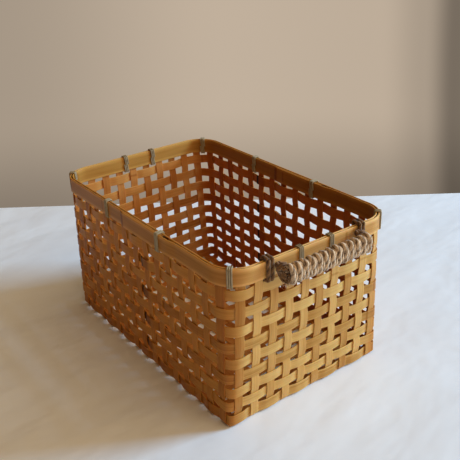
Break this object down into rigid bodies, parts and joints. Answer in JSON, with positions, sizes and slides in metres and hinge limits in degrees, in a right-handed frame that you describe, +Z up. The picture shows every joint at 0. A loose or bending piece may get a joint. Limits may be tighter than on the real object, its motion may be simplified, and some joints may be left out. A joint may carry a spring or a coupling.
{
  "type": "woven storage basket",
  "caption": "Rectangular open basket in plain-woven flat bamboo strips, with a double-hoop rim tied by lashings and a knotted jute rope handle that swings on one short side.",
  "frame": {"origin": "middle of the object's bounding box, on the plane it stands on", "axes": "+X along the long walls towards the handle, +Y along the short walls, +Z up"},
  "size_m": [0.388, 0.2332, 0.1943],
  "materials": {
    "upright_bamboo": "satin",
    "ring_bamboo": "satin",
    "rim_bamboo": "satin",
    "tie_fibre": "matte",
    "jute_rope": "matte"
  },
  "bodies": {
    "basket": {"cross_strip_01": "upright_bamboo", "cross_strip_02": "upright_bamboo", "cross_strip_03": "upright_bamboo", "cross_strip_04": "upright_bamboo", "cross_strip_05": "upright_bamboo", "cross_strip_06": "upright_bamboo", "cross_strip_07": "upright_bamboo", "cross_strip_08": "upright_bamboo", "cross_strip_09": "upright_bamboo", "cross_strip_10": "upright_bamboo", "cross_strip_11": "upright_bamboo", "cross_strip_12": "upright_bamboo", "cross_strip_13": "upright_bamboo", "cross_strip_14": "upright_bamboo", "cross_strip_15": "upright_bamboo", "long_strip_01": "upright_bamboo", "long_strip_02": "upright_bamboo", "long_strip_03": "upright_bamboo", "long_strip_04": "upright_bamboo", "long_strip_05": "upright_bamboo", "long_strip_06": "upright_bamboo", "long_strip_07": "upright_bamboo", "long_strip_08": "upright_bamboo", "long_strip_09": "upright_bamboo", "long_strip_10": "upright_bamboo", "ring_strip_1": "ring_bamboo", "ring_strip_2": "ring_bamboo", "ring_strip_3": "ring_bamboo", "ring_strip_4": "ring_bamboo", "ring_strip_5": "ring_bamboo", "ring_strip_6": "ring_bamboo", "ring_strip_7": "ring_bamboo", "ring_strip_8": "ring_bamboo", "ring_strip_9": "ring_bamboo", "rim_hoop_outer": "rim_bamboo", "rim_hoop_inner": "rim_bamboo", "rim_tie_01": "tie_fibre", "rim_tie_02": "tie_fibre", "rim_tie_03": "tie_fibre", "rim_tie_04": "tie_fibre", "rim_tie_05": "tie_fibre", "rim_tie_06": "tie_fibre", "rim_tie_07": "tie_fibre", "rim_tie_08": "tie_fibre", "rim_tie_09": "tie_fibre", "rim_tie_10": "tie_fibre", "rim_tie_11": "tie_fibre", "rim_tie_12": "tie_fibre", "handle_loop_left": "jute_rope", "handle_loop_right": "jute_rope"},
    "handle": {"handle_bar": "jute_rope", "handle_knot_left": "jute_rope", "handle_knot_right": "jute_rope"}
  },
  "joints": [
    {"name": "handle_swing", "type": "hinge", "parent": "basket", "child": "handle", "pos_m": [0.17034, 0.00103, 0.18596], "axis": [0, -1, 0], "range_deg": [-20, 90]}
  ]
}
